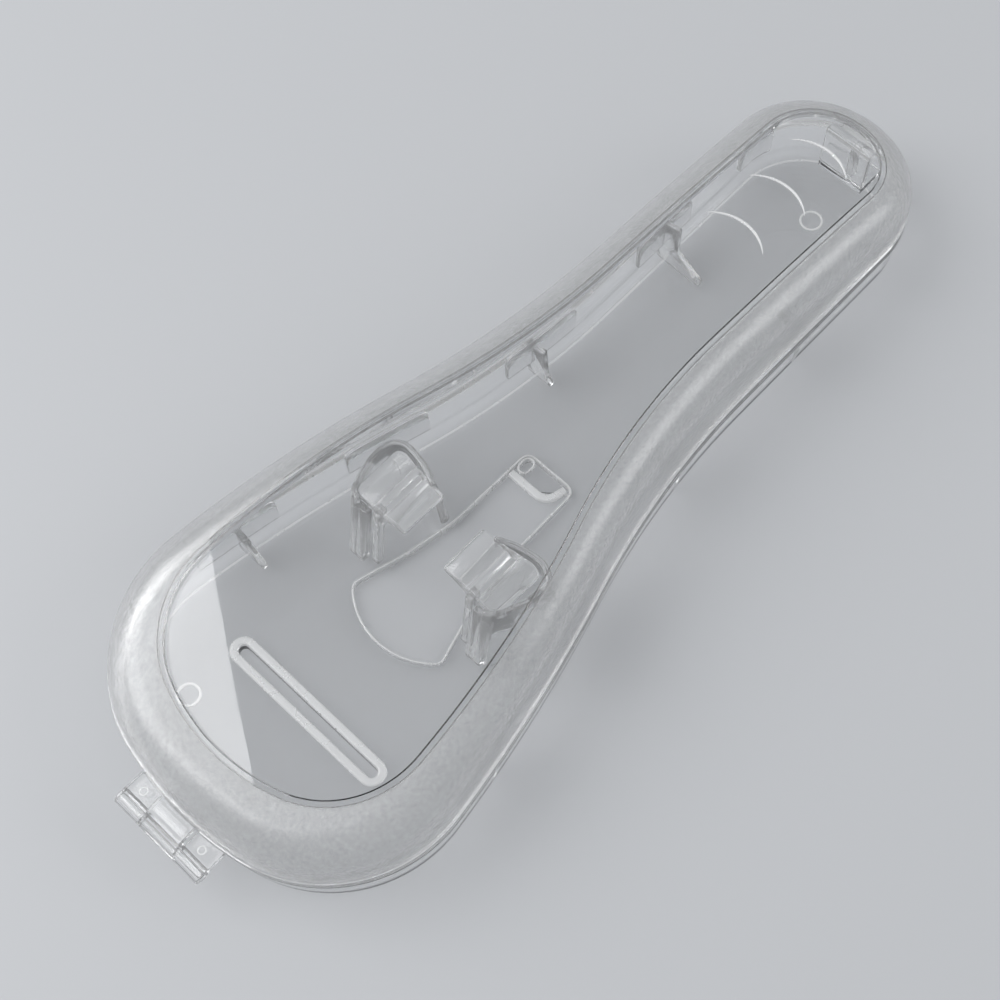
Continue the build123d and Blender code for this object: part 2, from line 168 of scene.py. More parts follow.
# %% [markdown]
# Most pieces here are grids of points: along a line one way, and across the
# wall the other way. Solidify would thicken a sheet, but leave its rims square.
# So the rows run over the outside, round the rim and back inside, and one skin
# closes on itself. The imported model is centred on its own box, which the hinge
# makes longer, so every point moves along X.

# %% Grids of points made into meshes
BODY_X = 1.85
MERGE = 0.0005
SLIVER = 0.0001


def mesh_piece(name, shape, body, replaced, material, crease=35.0):
    """Mesh from millimetre points and faces, riding on a body.

    Doubles are merged and the faces turned outward. Edges that turn by more
    than the crease angle stay sharp, all others are shaded smoothly."""
    points, faces = shape
    data = bpy.data.meshes.new(name)
    data.from_pydata(((np.asarray(points) + np.array([BODY_X, 0, 0])) * MM).tolist(), [], faces)
    work = bmesh.new()
    work.from_mesh(data)
    bmesh.ops.remove_doubles(work, verts=work.verts, dist=MERGE * MM)
    bmesh.ops.dissolve_degenerate(work, edges=work.edges, dist=SLIVER * MM)
    bmesh.ops.recalc_face_normals(work, faces=work.faces)
    work.to_mesh(data)
    work.free()
    data.polygons.foreach_set("use_smooth", np.ones(len(data.polygons), bool))
    data.set_sharp_from_angle(angle=math.radians(crease))
    data.update()
    piece = bpy.data.objects.new(name, data)
    bpy.context.scene.collection.objects.link(piece)
    data.materials.append(material)
    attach(piece, body)
    if replaced:
        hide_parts(*replaced)
    print(name, len(data.polygons), "faces")
    return piece


def ring_faces(rows, columns):
    """Quads of a grid whose rows and columns both close on themselves."""
    i, j = np.meshgrid(np.arange(rows), np.arange(columns), indexing="ij")
    ni, nj = (i + 1) % rows, (j + 1) % columns
    quads = np.stack([i * columns + j, i * columns + nj, ni * columns + nj, ni * columns + j], -1)
    return quads.reshape(-1, 4).tolist()


def tube_faces(rows, columns, caps=False):
    """The same without the quads that lead from the last row to the first.
    Caps close the two ends with one face each."""
    last = (rows - 1) * columns
    ends = [list(range(columns)), list(range(last, last + columns))] if caps else []
    return ring_faces(rows, columns)[:last] + ends


# %% [markdown]
# Clear plastic shows by what it bends and mirrors. A thin sheet of glass shader
# would look flat, so the walls are closed solids and the light bends twice, as
# on the moulded case. Wide moulding ripples and faint smears keep the gloss
# from looking like perfect glass. The lid's band is etched in the mould: its
# grain spreads the light, and a share of white scatter makes it milky. Rims and
# ridges look white on the real case, because light gathers in them; here that
# highlight is painted in by giving them a whiter, milkier plastic.

# %% A function that mixes plastics
REFRACTION = 1.49
TINT = (0.985, 0.99, 0.995, 1.0)
SMEAR_LOW, SMEAR_HIGH = 0.35, 0.65
SMEARS_PER_RIPPLE = 3


def node(tree, kind, **values):
    """New shader node with its sockets set by name."""
    made = tree.nodes.new(kind)
    for key, value in values.items():
        made.inputs[key.replace("_", " ")].default_value = value
    return made


def plastic(name, clear_share, rough, ripple, grain, haze, through_share):
    """See-through plastic, whose noises all read Object coordinates.

    A smear runs the roughness between two values. The sum of a wide ripple and
    a fine grain, each given by its scale and its height in millimetres, is the
    bump, and the grain greys the colour by the haze. Light on its way to or
    from a dull surface passes straight through each skin, less a share, so the
    inside stays as bright as it is in a real clear box."""
    material = bpy.data.materials.new(name)
    material.use_nodes = True
    tree = material.node_tree
    tree.nodes.clear()
    link = tree.links.new
    place = tree.nodes.new("ShaderNodeTexCoord")
    smear = node(tree, "ShaderNodeTexNoise", Scale=ripple[0] * SMEARS_PER_RIPPLE, Detail=4.0)
    wide = node(tree, "ShaderNodeTexNoise", Scale=ripple[0], Detail=1.0)
    fine = node(tree, "ShaderNodeTexNoise", Scale=grain[0], Detail=2.0)
    for noise in (smear, wide, fine):
        link(place.outputs["Object"], noise.inputs["Vector"])
    spread = node(tree, "ShaderNodeMapRange", From_Min=SMEAR_LOW, From_Max=SMEAR_HIGH,
                  To_Min=rough[0], To_Max=rough[1])
    link(smear.outputs["Fac"], spread.inputs["Value"])
    ripples = node(tree, "ShaderNodeBump", Strength=1.0, Distance=ripple[1] * MM)
    link(wide.outputs["Fac"], ripples.inputs["Height"])
    grains = node(tree, "ShaderNodeBump", Strength=1.0, Distance=grain[1] * MM)
    link(fine.outputs["Fac"], grains.inputs["Height"])
    link(ripples.outputs["Normal"], grains.inputs["Normal"])
    speck = node(tree, "ShaderNodeMixRGB", Color1=TINT, Color2=(1 - haze, 1 - haze, 1 - haze, 1.0))
    link(fine.outputs["Fac"], speck.inputs["Fac"])
    body = node(tree, "ShaderNodeBsdfPrincipled", IOR=REFRACTION, Transmission_Weight=clear_share)
    link(speck.outputs["Color"], body.inputs["Base Color"])
    link(spread.outputs["Result"], body.inputs["Roughness"])
    link(grains.outputs["Normal"], body.inputs["Normal"])
    ray = tree.nodes.new("ShaderNodeLightPath")
    through = node(tree, "ShaderNodeBsdfTransparent", Color=(through_share,) * 3 + (1.0,))
    shown = body.outputs["BSDF"]
    for kind in ("Is Shadow Ray", "Is Diffuse Ray"):
        mix = tree.nodes.new("ShaderNodeMixShader")
        link(ray.outputs[kind], mix.inputs["Fac"])
        link(shown, mix.inputs[1])
        link(through.outputs["BSDF"], mix.inputs[2])
        shown = mix.outputs["Shader"]
    out = tree.nodes.new("ShaderNodeOutputMaterial")
    link(shown, out.inputs["Surface"])
    return material


# %% The five plastics of the case
# In turn: name, clear share, roughness, ripple, grain, haze, share let through
CLEAR = plastic("clear_gloss", 1.0, (0.0, 0.04), (60.0, 0.04), (900.0, 0.0002), 0.02, 0.93)
WINDOW_CLEAR = plastic("window_gloss", 1.0, (0.0, 0.02), (35.0, 0.03), (900.0, 0.00005), 0.02, 0.93)
SATIN = plastic("moulded_satin", 0.9, (0.03, 0.11), (60.0, 0.04), (2200.0, 0.002), 0.03, 0.9)
# The whiter plastic paints in the highlights that rims, ridges and beads catch.
PAINTED_HIGHLIGHT = plastic("painted_highlight_edge", 0.55, (0.22, 0.32), (60.0, 0.01), (2200.0, 0.002), 0.03, 0.9)
FROSTED = plastic("frosted_satin", 0.86, (0.2, 0.26), (90.0, 0.03), (1500.0, 0.06), 0.34, 0.88)

for piece in NODES.values():
    piece.data.materials.clear()
    piece.data.materials.append(CLEAR)
print("materials", [m.name for m in (CLEAR, WINDOW_CLEAR, SATIN, PAINTED_HIGHLIGHT, FROSTED)])

# %% [markdown]
# The lid is a shell with a drafted wall, a wide round shoulder and a long, low
# crown. Bevel and Solidify on a box come near, but the seams between its
# frosted, glossy and clear parts have to follow the shape. So one function
# gives any point of the skin, from the place around the outline and a walk
# inward from the rim. The inner skin is the same walk with less radius.

# %% The lid's skin as a function
LID_FOOT_Z = 10.7
LID_RIM_Z = 12.6
DRAFT = math.radians(3.0)
LID_ROUND = 6.8
LID_WALL = 1.3
LID_TOP = 1.6
CROWN_Z, CROWN_X, CROWN_RADIUS = 27.6, 2.7, 466.0
CROWN_ROUNDS = 4


def crown_height(x, drop=0.0):
    """Height of a circle's top over x, with its radius less the drop."""
    radius = CROWN_RADIUS - drop
    return CROWN_Z - drop - radius + np.sqrt(radius**2 - (x - CROWN_X) ** 2)


def lid_points(start, stop, rows, inset, drop, rise=0.0):
    """Grid on the lid's skin between two walks inward from the rim.

    A walk of 0 is the foot of the drafted wall. Below the round the point
    climbs the wall; on the round it turns about the fillet's centre; beyond it
    runs level under the crown. The crown's height is taken where the point
    lies, so the sum is repeated until the place settles."""
    radius = LID_ROUND - inset
    walk = start + (stop - start) * np.linspace(0, 1, rows)[:, None]
    x = np.broadcast_to(RIM[:, 0], walk.shape).copy()
    for _ in range(CROWN_ROUNDS):
        top = crown_height(x, drop) + rise
        turn_z = top - radius + radius * math.sin(DRAFT)
        wall = (turn_z - LID_FOOT_Z) / math.cos(DRAFT)
        shoulder = radius * (math.pi / 2 - DRAFT)
        angle = DRAFT + np.clip((walk - wall) / radius, 0, math.pi / 2 - DRAFT)
        on_wall = np.minimum(walk, wall)
        centre = (top - radius - LID_FOOT_Z) * math.tan(DRAFT) + radius / math.cos(DRAFT)
        level = np.maximum(walk - wall - shoulder, 0)
        round_deep = centre - radius * np.cos(angle) + level
        round_high = top - radius + radius * np.sin(angle)
        deep = np.where(walk < wall, on_wall * math.sin(DRAFT), round_deep)
        high = np.where(walk < wall, LID_FOOT_Z + on_wall * math.cos(DRAFT), round_high)
        x = RIM[:, 0] - RIM_OUT[:, 0] * (deep + inset)
    y = RIM[:, 1] - RIM_OUT[:, 1] * (deep + inset)
    return np.stack([x, y, high], -1)


print("crown", crown_height(np.array(CASE_ENDS)).round(2), "at the ends,", CROWN_Z, "at its top")

# %% [markdown]
# The band ends at a raised border round the window. A line drawn on the lid
# could be projected onto it, but the walk already runs over the shape. So the
# plan distance from rim to border is measured at every point, and the walk of
# that reach is found by halving, to far less than a hair.

# %% Walks that end at the border and at the window
BORDER_WIDTH = 1.0
PARALLEL = 1e-12
EDGE_SLACK = 1e-9
LONGEST_WALK = 60.0
HALVINGS = 40


def cross_product(a, b):
    """Cross product of plane vectors, which is zero where they are parallel."""
    return a[..., 0] * b[..., 1] - a[..., 1] * b[..., 0]


def reach_to(border, border_out, grow):
    """How far inward from each rim point the border lies, along the normal:
    the nearest crossing of that ray with the border's chain of segments."""
    a = border + border_out * grow
    b = np.roll(a, -1, 0)
    ray = -RIM_OUT[:, None, :]
    edge = (b - a)[None]
    to = a[None] - RIM[:, None, :]
    cross = cross_product(ray, edge)
    cross = np.where(np.abs(cross) < PARALLEL, PARALLEL, cross)
    along = cross_product(to, edge) / cross
    share = cross_product(to, ray) / cross
    hit = (along > 0) & (share >= -EDGE_SLACK) & (share <= 1 + EDGE_SLACK)
    return np.where(hit, along, np.inf).min(1)


def walk_for(reach, inset, drop):
    """Length of the walk that ends a given plan distance inside the rim."""
    low, high = np.zeros(len(RIM)), np.full(len(RIM), LONGEST_WALK)
    for _ in range(HALVINGS):
        middle = (low + high) / 2
        point = lid_points(middle, middle, 1, inset, drop)[0]
        plan = np.hypot(*(point[:, :2] - RIM).T)
        low, high = np.where(plan < reach, middle, low), np.where(plan < reach, high, middle)
    return (low + high) / 2


def height_walk(z):
    """Walk up the wall to a height."""
    return np.full(len(RIM), (z - LID_FOOT_Z) / math.cos(DRAFT))


BORDER_REACH = reach_to(WINDOW, WINDOW_OUT, BORDER_WIDTH)
WINDOW_REACH = reach_to(WINDOW, WINDOW_OUT, 0.0)
OUTER_SKIN, INNER_SKIN = (0.0, 0.0), (LID_WALL, LID_TOP)
out_border, in_border = (walk_for(BORDER_REACH, *skin) for skin in (OUTER_SKIN, INNER_SKIN))
out_window, in_window = (walk_for(WINDOW_REACH, *skin) for skin in (OUTER_SKIN, INNER_SKIN))
print("band width in plan", BORDER_REACH.min().round(2), BORDER_REACH.max().round(2))

# %% [markdown]
# On the real lid the frosted band, the glossy rim below it and the raised
# border are one moulding with three finishes. They could share one mesh with
# three materials, but as pieces of their own they can be picked and changed
# alone. A seam of a fiftieth of a millimetre keeps their skins apart.

# %% Frosted band, glossy rim and window border
SEAM = 0.02
BORDER_RISE = 0.3


def closed_ring(outer, inner):
    """Outer rows forward, inner rows back: one skin that closes on itself."""
    grid = np.concatenate([outer, inner[::-1]])
    return grid.reshape(-1, 3), ring_faces(*grid.shape[:2])


band = closed_ring(
    lid_points(height_walk(LID_RIM_Z + SEAM), out_border - SEAM, 44, *OUTER_SKIN),
    lid_points(height_walk(LID_RIM_Z + SEAM), in_border - SEAM, 30, *INNER_SKIN),
)
mesh_piece("lid_frosted_band", band, "lid", ["lid_band"], FROSTED)
rim = closed_ring(
    lid_points(height_walk(LID_FOOT_Z), height_walk(LID_RIM_Z), 8, *OUTER_SKIN),
    lid_points(height_walk(LID_FOOT_Z), height_walk(LID_RIM_Z), 8, *INNER_SKIN),
)
mesh_piece("lid_glossy_rim", rim, "lid", ["lid_rim"], CLEAR)
border = closed_ring(
    lid_points(out_border + SEAM, out_window - SEAM, 6, *OUTER_SKIN, BORDER_RISE),
    lid_points(in_border + SEAM, in_window - SEAM, 6, *INNER_SKIN),
)
mesh_piece("lid_window_border", border, "lid", ["lid_border"], CLEAR)

# %% [markdown]
# The window is a thin arched plate, through which the inside is seen. A fan of
# triangles from its middle would pinch the reflections. So its grid shrinks
# from the border to a straight spine, and its faces stay even at the round
# ends.

# %% Lid window
SPINE = (-52.0, 69.0)


def window_plate(rows=26):
    """Top and bottom skins from the border to the spine, joined at the edge."""
    edge = WINDOW - WINDOW_OUT * SEAM
    spine = np.stack([np.clip(edge[:, 0], *SPINE), np.zeros(len(edge))], 1)
    share = np.linspace(0, 1, rows)[:, None, None]
    plan = edge[None] * (1 - share) + spine[None] * share
    top = np.concatenate([plan, crown_height(plan[..., 0])[..., None]], -1)
    under = np.concatenate([plan, crown_height(plan[..., 0], LID_TOP)[..., None]], -1)
    grid = np.concatenate([under[::-1], top])
    return grid.reshape(-1, 3), tube_faces(*grid.shape[:2])


mesh_piece("lid_window_pane", window_plate(), "lid", ["lid_window"], WINDOW_CLEAR)

# %% [markdown]
# The floor has two openings: a long slot across the wide end, and a cut-out
# like an open fan between the clips. A Boolean would leave slivers in the flat
# floor, which show in clear plastic. So each opening is a closed loop of even
# points, and the floor is later filled in round it.

# %% Loops for openings and their rims
CORNER_LIMIT = 0.45


def loop_normals(loop):
    """Outward normals of a closed counter-clockwise loop: the chord between
    both neighbours, turned right."""
    chord = np.roll(loop, -1, 0) - np.roll(loop, 1, 0)
    out = np.stack([chord[:, 1], -chord[:, 0]], 1)
    return out / np.linalg.norm(out, axis=1, keepdims=True)


def rounded_loop(corners, cut, steps=5):
    """Closed loop with its corners cut at a distance along both sides and
    joined by a parabola: (1-s)^2 a + 2s(1-s) p + s^2 b."""
    p = np.array(corners, float)
    area = cross_product(p, np.roll(p, -1, 0)).sum()
    p = p[::-1] if area < 0 else p
    back, ahead = np.roll(p, 1, 0) - p, np.roll(p, -1, 0) - p
    behind = np.linalg.norm(back, axis=1, keepdims=True)
    before = np.linalg.norm(ahead, axis=1, keepdims=True)
    reach = np.minimum(cut, CORNER_LIMIT * np.minimum(behind, before))
    a, b = (p + back / behind * reach)[:, None], (p + ahead / before * reach)[:, None]
    s = np.linspace(0, 1, steps)[None, :, None]
    return ((1 - s) ** 2 * a + 2 * s * (1 - s) * p[:, None] + s**2 * b).reshape(-1, 2)


def arc_through(start, middle, end, count):
    """Points of the circle through three points, from the first to the last."""
    (ax, ay), (bx, by), (cx, cy) = start, middle, end
    d = 2 * (ax * (by - cy) + bx * (cy - ay) + cx * (ay - by))
    a2, b2, c2 = ax**2 + ay**2, bx**2 + by**2, cx**2 + cy**2
    ux = (a2 * (by - cy) + b2 * (cy - ay) + c2 * (ay - by)) / d
    uy = (a2 * (cx - bx) + b2 * (ax - cx) + c2 * (bx - ax)) / d
    first, mid, last = (math.atan2(y - uy, x - ux) for x, y in (start, middle, end))
    turn = (last - first) % (2 * math.pi)
    turn = turn if (mid - first) % (2 * math.pi) < turn else turn - 2 * math.pi
    angles = first + turn * np.linspace(0, 1, count)
    radius = math.hypot(ax - ux, ay - uy)
    return np.stack([ux + radius * np.cos(angles), uy + radius * np.sin(angles)], 1)


def stadium(x, length, width, count=24):
    """Loop of a slot across the case: two straights and two half circles."""
    radius = width / 2
    angles = np.linspace(0, math.pi, count)
    top = np.stack([x + radius * np.cos(angles), length / 2 - radius + radius * np.sin(angles)], 1)
    return np.concatenate([top, -top + np.array([2 * x, 0])])


def points_at(marks, walk, line):
    """Points of a line at given lengths along it."""
    return np.stack([np.interp(marks, walk, line[:, k]) for k in (0, 1)], 1)


def even_loop(loop, spacing):
    """The same loop with points at even distances along it."""
    closed = np.concatenate([loop, loop[:1]])
    walk = walk_along(closed)
    marks = np.linspace(0, walk[-1], max(int(walk[-1] / spacing), 12), endpoint=False)
    return points_at(marks, walk, closed)


# %% The fan-shaped cut-out and the slot
FAN_SIDE = [(-0.7, 5.4), (-19.0, 5.7), (-28.8, 7.5), (-39.3, 10.5)]
FAN_ROUND = 1.6
SLOT_X = -60.6
POINT_SPACING = 0.5
BEAD_WIDTH = 0.42
GAP = 0.02

fan_back = arc_through((-39.3, 10.5), (-43.8, 0.0), (-39.3, -10.5), 13)[1:-1]
fan_corners = FAN_SIDE + fan_back.tolist() + [(x, -y) for x, y in FAN_SIDE[::-1]]
FAN = even_loop(rounded_loop(fan_corners, FAN_ROUND), POINT_SPACING)
FAN_CUT = FAN + loop_normals(FAN) * (BEAD_WIDTH + GAP)
SLOT = even_loop(stadium(SLOT_X, 33.0, 2.0), POINT_SPACING)
print("openings", len(FAN), len(SLOT), "points")

# %% [markdown]
# The base is one moulding: floor, wall and outer lip. Solids that only touch
# would show dark seams inside clear plastic. So one section is carried round
# the outline, and the two flat skins of the floor are filled in between the
# section's ends and the two openings.

# %% The tray's section
PARTING_Z = 10.5
FLOOR_Z = 1.5
DRAFT_DEGREES = 1.5
BASE_DRAFT = math.tan(math.radians(DRAFT_DEGREES))
INNER_FOOT, INNER_ROUND = 2.275, 2.0
OUTER_FOOT, OUTER_ROUND = 0.775, 2.5
LIP_INSIDE, LIP_ROUND = 2.04, 0.2
LIP_UNDER = ((0.15, 9.35, 0.15), (0.43, 9.1, 0.1))


def quarter(inset, height, radius, first, last, steps=9):
    """Arc of a section about a centre, by angles in degrees."""
    angles = np.radians(np.linspace(first, last, steps))
    return np.stack([inset + radius * np.cos(angles), height + radius * np.sin(angles)], 1)


def tray_section():
    """Section from the floor's top, up the inside, over the lip and back under.

    Insets grow toward the middle of the case. Both walls lean outward by the
    draft, and their feet are rounded."""
    inner_foot = INNER_FOOT - INNER_ROUND * BASE_DRAFT + INNER_ROUND
    outer_foot = OUTER_FOOT - OUTER_ROUND * BASE_DRAFT + OUTER_ROUND
    return np.concatenate([
        quarter(inner_foot, FLOOR_Z + INNER_ROUND, INNER_ROUND, 270, 180 + DRAFT_DEGREES),
        quarter(LIP_INSIDE - LIP_ROUND, PARTING_Z - LIP_ROUND, LIP_ROUND, 0, 90, 4),
        quarter(LIP_ROUND, PARTING_Z - LIP_ROUND, LIP_ROUND, 90, 180, 4),
        quarter(*LIP_UNDER[0], 180, 270, 3),
        quarter(*LIP_UNDER[1], 90, 0, 3),
        quarter(outer_foot, OUTER_ROUND, OUTER_ROUND, 180, 270),
    ])


def offset_rows(section):
    """Grid of the section carried round the outline, one row per section point."""
    plan = RIM[None] - RIM_OUT[None] * section[:, 0, None, None]
    high = np.broadcast_to(section[:, 1, None, None], plan.shape[:2] + (1,))
    return np.concatenate([plan, high], -1)


print("section", len(tray_section()), "points")

# %% The tray: floor, wall and lip in one skin
TOO_CLOSE = 1e-6
ALONG, ACROSS, UP = np.eye(3)
FLAT = (ALONG, ACROSS, UP)


def inside(points, loop):
    """True where a point lies in a loop: an odd number of its edges cross the
    ray that runs from the point along +X."""
    a, b = loop[None], np.roll(loop, -1, 0)[None]
    x, y = points[:, None, 0], points[:, None, 1]
    spans = (a[..., 1] > y) != (b[..., 1] > y)
    rise = np.where(spans, b[..., 1] - a[..., 1], 1.0)
    at = a[..., 0] + (y - a[..., 1]) * (b[..., 0] - a[..., 0]) / rise
    return (spans & (at > x)).sum(1) % 2 == 1


def filled(border, holes):
    """Triangles between a border and its holes, by constrained Delaunay."""
    loops = [border] + holes
    starts = np.cumsum([0] + [len(loop) for loop in loops])
    edges = [(s + i, s + (i + 1) % len(p)) for s, p in zip(starts, loops) for i in range(len(p))]
    flat = [Vector(p) for p in np.concatenate(loops).tolist()]
    made, _, triangles, *_ = delaunay_2d_cdt(flat, edges, [], 0, TOO_CLOSE)
    made, triangles = np.array([tuple(v) for v in made]), np.array(triangles)
    middle = made[triangles].mean(1)
    keep = inside(middle, border)
    for hole in holes:
        keep &= ~inside(middle, hole)
    return made, triangles[keep]


def placed(plan, depth, axes):
    """Points from two coordinates in a plane and a depth along its normal."""
    u, v, w = axes
    return plan[..., :1] * u + plan[..., 1:] * v + depth * w


def with_flat_ends(grid, ends, holes, axes):
    """Close a tube of points with two flat skins, and wall the holes in them.

    Each end is a border in the plane of the first two axes and its depth along
    the third."""
    points, faces = [grid.reshape(-1, 3)], tube_faces(*grid.shape[:2])
    total = len(points[0])
    for border, depth in ends:
        skin, triangles = filled(border, holes)
        points.append(placed(skin, depth, axes))
        faces += (triangles + total).tolist()
        total += len(skin)
    depths = sorted(depth for _, depth in ends)
    for hole in holes:
        points += [placed(hole, depth, axes) for depth in depths]
        faces += [[v + total for v in f] for f in tube_faces(2, len(hole))]
        total += 2 * len(hole)
    return np.concatenate(points), faces


rows = offset_rows(tray_section())
floor_ends = ((rows[0, :, :2], FLOOR_Z), (rows[-1, :, :2], 0.0))
moulding = with_flat_ends(rows, floor_ends, [FAN_CUT, SLOT], FLAT)
tray = mesh_piece("base_tray", moulding, "base", ["base_floor", "base_wall", "base_lip"], CLEAR)

# %% [markdown]
# The top of the tray's wall and the fillet at its foot catch the light and look
# like white lines. A second mesh could lie on them, but would flicker where it
# touches. So these lines are a painted highlight: the tray has two materials,
# and each face picks the whiter one by its height and by which way it faces.

# %% Painted highlight on the tray's rim and foot
RIM_HIGHLIGHT_DEPTH = 0.15
FOOT_HIGHLIGHT = (FLOOR_Z + 0.04, FLOOR_Z + 0.14)

tray.data.materials.append(PAINTED_HIGHLIGHT)
middles, normals = (np.empty(3 * len(tray.data.polygons)) for _ in range(2))
tray.data.polygons.foreach_get("center", middles)
tray.data.polygons.foreach_get("normal", normals)
high, upward = middles[2::3] / MM, normals[2::3] > 0.5
# Faces near the rim's top, and upward faces in a thin band on the foot's fillet, take the painted
# highlight.
painted_highlight = (high > PARTING_Z - RIM_HIGHLIGHT_DEPTH) | (upward & (high > FOOT_HIGHLIGHT[0]) & (high < FOOT_HIGHLIGHT[1]))
tray.data.polygons.foreach_set("material_index", painted_highlight.astype(np.int32))
print("milky faces", painted_highlight.sum(), "of", len(painted_highlight))

# %% [markdown]
# Beads, tongues, thin walls and ridges are all one kind of form. A bevelled
# curve would do for a bead of one size, but some of these change on the way. So
# a rounded rectangle is carried along a line, with its own width, foot and top
# at every point.

# %% Strips along a line
CORNER_STEPS = 4


def strip(path, out, width, foot, top, edge, closed=False):
    """Grid of a rounded rectangle along a path.

    A section point is the path's point, plus the outward normal times the side
    offset, at a height between foot and top; its corners are quarter circles."""
    count = len(path)
    width, foot, top = (np.broadcast_to(np.asarray(v, float), count) for v in (width, foot, top))
    edge = np.minimum(edge, CORNER_LIMIT * np.minimum(width, top - foot))[:, None]
    angles = np.radians(np.concatenate([np.linspace(a, a + 90, CORNER_STEPS) for a in (0, 90, 180, 270)]))
    side = np.repeat([1, -1, -1, 1], CORNER_STEPS)[None]
    level = np.repeat([1, 1, 0, 0], CORNER_STEPS)[None]
    off = side * (width[:, None] / 2 - edge) + edge * np.cos(angles)
    high = (foot[:, None] + edge + level * (top - foot)[:, None] - level * 2 * edge
            + edge * np.sin(angles))
    plan = path[:, None] + out[:, None] * off[..., None]
    grid = np.concatenate([plan, high[..., None]], -1)
    faces = ring_faces(count, len(angles)) if closed else tube_faces(count, len(angles), caps=True)
    return grid.reshape(-1, 3), faces


def bead(loop, width, foot, top, edge):
    """Closed strip on a loop."""
    return strip(loop, loop_normals(loop), width, foot, top, edge, closed=True)


def end_round(depth, radius):
    """Quarter circle near an end: how far a face falls back, by its depth from
    the end."""
    return radius - np.sqrt(np.maximum(radius**2 - np.maximum(radius - depth, 0) ** 2, 0))


# %% [markdown]
# The cut-out and the slot have raised rims, and two round marks on the floor
# are rings left by the mould. They could be a bump in the material, but would
# be gone from the side and from the exported mesh. So each is a thin bead that
# stands on the floor.

# %% Rims of the openings and round marks
# The beads and rings take the whiter plastic, a painted highlight on their edges.
fan_line = FAN + loop_normals(FAN) * (BEAD_WIDTH / 2)
rim = bead(fan_line, width=BEAD_WIDTH, foot=GAP, top=FLOOR_Z + 0.4, edge=0.2)
mesh_piece("cutout_bead", rim, "base", ["cutout_rim"], PAINTED_HIGHLIGHT)

slot_line = even_loop(stadium(SLOT_X, 34.5, 3.5), 0.4)
rim = bead(slot_line, width=1.5, foot=FLOOR_Z + GAP, top=FLOOR_Z + 0.9, edge=0.5)
mesh_piece("slot_frame", rim, "base", ["slot_rim"], PAINTED_HIGHLIGHT)

ROUND_MARKS = {"narrow": (70.9, -0.5, 2.2), "wide": (-72.3, 16.7, 2.15)}
turn = np.linspace(0, 2 * math.pi, 64, endpoint=False)
circle = np.stack([np.cos(turn), np.sin(turn)], 1)
for name, (x, y, radius) in ROUND_MARKS.items():
    ring = circle * (radius - 0.2) + (x, y)
    rim = bead(ring, width=0.4, foot=FLOOR_Z + GAP, top=FLOOR_Z + 0.25, edge=0.1)
    mesh_piece(f"round_ring_{name}", rim, "base", [f"round_mark_{name}"], PAINTED_HIGHLIGHT)

# %% [markdown]
# Five thin tongues on each side stand up inside the wall and guide the lid onto
# the base. An Array would set them in a straight row, but they follow the
# curved wall. So each is a strip along the outline, moved inward. Its upper
# corners are rounded by letting the top fall near both ends.

# %% Tongues that line up the two halves
TONGUES = ((-56.0, -39.5), (-25.5, -9.5), (6.5, 22.5), (39.0, 53.5), (67.5, 76.5))
TONGUE_INSET = 2.68
TONGUE_WIDTH = 1.0
TONGUE_FOOT, TONGUE_TOP = 6.0, 13.2
TONGUE_ROUND, TONGUE_EDGE = 2.0, 0.25
NEAR, NEAR_OUT = RIM[: AROUND // 2], RIM_OUT[: AROUND // 2]


def along_side(x, sign, inset):
    """Points and outward normals of one long side at given lengths: the near
    half of the outline, looked up by x, and mirrored for the far side."""
    y, ox, oy = (np.interp(x, NEAR[:, 0], v) for v in (NEAR[:, 1], NEAR_OUT[:, 0], NEAR_OUT[:, 1]))
    out = np.stack([ox, -sign * oy], 1)
    return np.stack([x, -sign * y], 1) - out * inset, out


def tongue(x0, x1, sign):
    """Strip inside the wall. Near its ends the top falls by the large quarter
    circle, and the sides and the foot pull in by the small one."""
    ends = TONGUE_ROUND * (1 - np.cos(np.linspace(0, math.pi / 2, 10)))
    straight = np.linspace(x0 + TONGUE_ROUND, x1 - TONGUE_ROUND, 24)[1:-1]
    x = np.concatenate([x0 + ends, straight, (x1 - ends)[::-1]])
    path, out = along_side(x, sign, TONGUE_INSET)
    depth = np.minimum(x - x0, x1 - x)
    fall, pull = end_round(depth, TONGUE_ROUND), end_round(depth, TONGUE_EDGE)
    return strip(path, out, TONGUE_WIDTH - 2 * pull, TONGUE_FOOT + pull, TONGUE_TOP - fall, TONGUE_EDGE)


SIDES = (("left", 1), ("right", -1))
for number, (x0, x1) in enumerate(TONGUES, 1):
    for side, sign in SIDES:
        node_name = f"tongue_{side}_{number}"
        mesh_piece(f"{node_name}_blade", tongue(x0, x1, sign), "base", [node_name], SATIN)

# %% [markdown]
# Three crescent ridges near the tip give the thumb a hold on the window. They
# could be cut from three discs, but a strip is simpler: it runs along an arc on
# the crown, and its width and height swell from almost nothing and back.

# %% Thumb ridges on the window
RIDGES_X = (48.3, 59.8, 71.5)
RIDGE_RADIUS = 8.6
RIDGE_CENTRE = (-7.8, 0.3)
RIDGE_ANGLE = 47
RIDGE_WIDTH, RIDGE_RISE = (0.08, 0.44), (0.06, 0.32)
RIDGE_SWELL = 0.7
RIDGE_LIFT = 0.01


